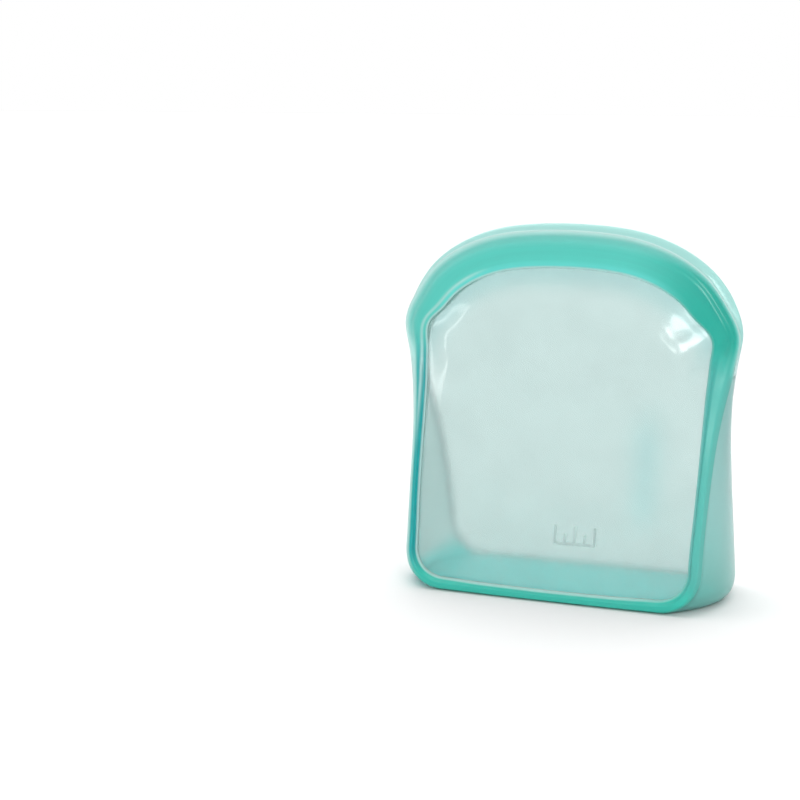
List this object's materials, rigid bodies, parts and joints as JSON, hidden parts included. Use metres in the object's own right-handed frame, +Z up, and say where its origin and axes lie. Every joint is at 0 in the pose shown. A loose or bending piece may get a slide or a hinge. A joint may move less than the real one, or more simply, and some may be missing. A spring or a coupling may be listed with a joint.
{
  "type": "reusable silicone bag",
  "caption": "Translucent silicone stand-up storage bag with a domed top, a press-to-close seal between two lips, thick framed rims and a flat base.",
  "frame": {"origin": "middle of the flat base, where the bag stands", "axes": "+Z up, -Y towards the front face with the fill marks, +X to the right seen from the front"},
  "size_m": [0.177, 0.064, 0.1805],
  "materials": {
    "silicone_thin": "translucent satin silicone",
    "silicone_thick": "translucent saturated satin silicone"
  },
  "bodies": {
    "bag_body": {"base_panel": "silicone_thin", "front_panel": "silicone_thin", "back_panel": "silicone_thin", "left_side_wall": "silicone_thin", "right_side_wall": "silicone_thin", "front_rim": "silicone_thick", "back_rim": "silicone_thick", "left_mouth_corner": "silicone_thick", "right_mouth_corner": "silicone_thick", "fill_marks": "silicone_thick"},
    "front_lip": {"front_seal_band": "silicone_thick", "front_pull_edge": "silicone_thick", "seal_bead": "silicone_thick", "front_upper_panel": "silicone_thin"},
    "back_lip": {"back_seal_band": "silicone_thick", "back_pull_edge": "silicone_thick", "outer_channel_rail": "silicone_thick", "inner_channel_rail": "silicone_thick", "back_upper_panel": "silicone_thin"}
  },
  "joints": [
    {"name": "front_lip_opens", "type": "hinge", "parent": "bag_body", "child": "front_lip", "pos_m": [0, -0.005, 0.113], "axis": [1, 0, 0], "range_deg": [0, 38]},
    {"name": "back_lip_opens", "type": "hinge", "parent": "bag_body", "child": "back_lip", "pos_m": [0, 0.005, 0.113], "axis": [-1, 0, 0], "range_deg": [0, 38]}
  ]
}
